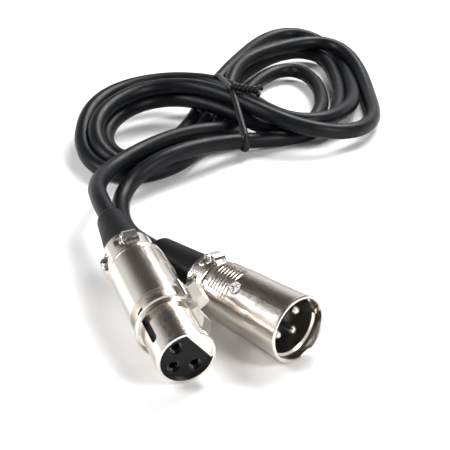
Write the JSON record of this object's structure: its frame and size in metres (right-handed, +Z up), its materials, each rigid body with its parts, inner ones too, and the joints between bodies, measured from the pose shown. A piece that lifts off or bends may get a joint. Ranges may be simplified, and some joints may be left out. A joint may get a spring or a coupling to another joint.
{
  "type": "xlr cable coil",
  "caption": "Coiled microphone cable with a latching female and a male three-pole connector, hank tied at its crossing.",
  "frame": {"origin": "on the floor under the middle of the two connectors' bounding box (cable, hank and tie left out)", "axes": "+Z up, square to the floor the coil lies on; -Y towards the connectors' mouths, +Y towards the hank; +X to the right seen from the front"},
  "size_m": [0.12, 0.2645, 0.0217],
  "materials": {
    "nickel_shell": "satin bright nickel on die-cast zinc",
    "contact_silver": "silver plated contacts",
    "black_insulator": "moulded black, semi-gloss",
    "screw_steel": "nickel plated screws",
    "spring_steel": "drawn spring wire",
    "boot_rubber": "black elastomer, satin",
    "cable_jacket": "black flexible PVC, satin",
    "wire_red": "coloured insulation",
    "wire_white": "coloured insulation",
    "wire_copper": "bare twisted copper drain",
    "tie_black": "plastic-coated wire tie"
  },
  "bodies": {
    "cable_and_connectors": {"female_shell": "nickel_shell", "female_nose": "nickel_shell", "female_insulator": "black_insulator", "female_sockets": "contact_silver", "female_set_screw": "screw_steel", "female_clamp_saddle": "nickel_shell", "female_clamp_screws": "screw_steel", "female_boot": "boot_rubber", "female_cable_end": "cable_jacket", "female_wire_hot": "wire_red", "female_wire_cold": "wire_white", "female_wire_shield": "wire_copper", "male_shell": "nickel_shell", "male_insulator": "black_insulator", "male_pins": "contact_silver", "male_set_screw": "screw_steel", "male_clamp_saddle": "nickel_shell", "male_clamp_screws": "screw_steel", "male_boot": "boot_rubber", "male_cable_end": "cable_jacket", "male_wire_hot": "wire_red", "male_wire_cold": "wire_white", "male_wire_shield": "wire_copper", "latch_spring": "spring_steel", "latch_pin": "spring_steel", "cable_lead_female": "cable_jacket", "cable_lead_male": "cable_jacket", "cable_hank": "cable_jacket", "twist_tie": "tie_black"},
    "latch": {"latch_lever": "nickel_shell"}
  },
  "joints": [
    {"name": "latch_press", "type": "hinge", "parent": "cable_and_connectors", "child": "latch", "pos_m": [-0.00679, -0.00771, 0.01414], "axis": [0.5603, 0.2728, -0.7821], "range_deg": [0, 3.5], "stiffness_Nm_per_rad": 0.03, "springref_deg": -20.05, "deforming": ["latch_spring"]}
  ]
}
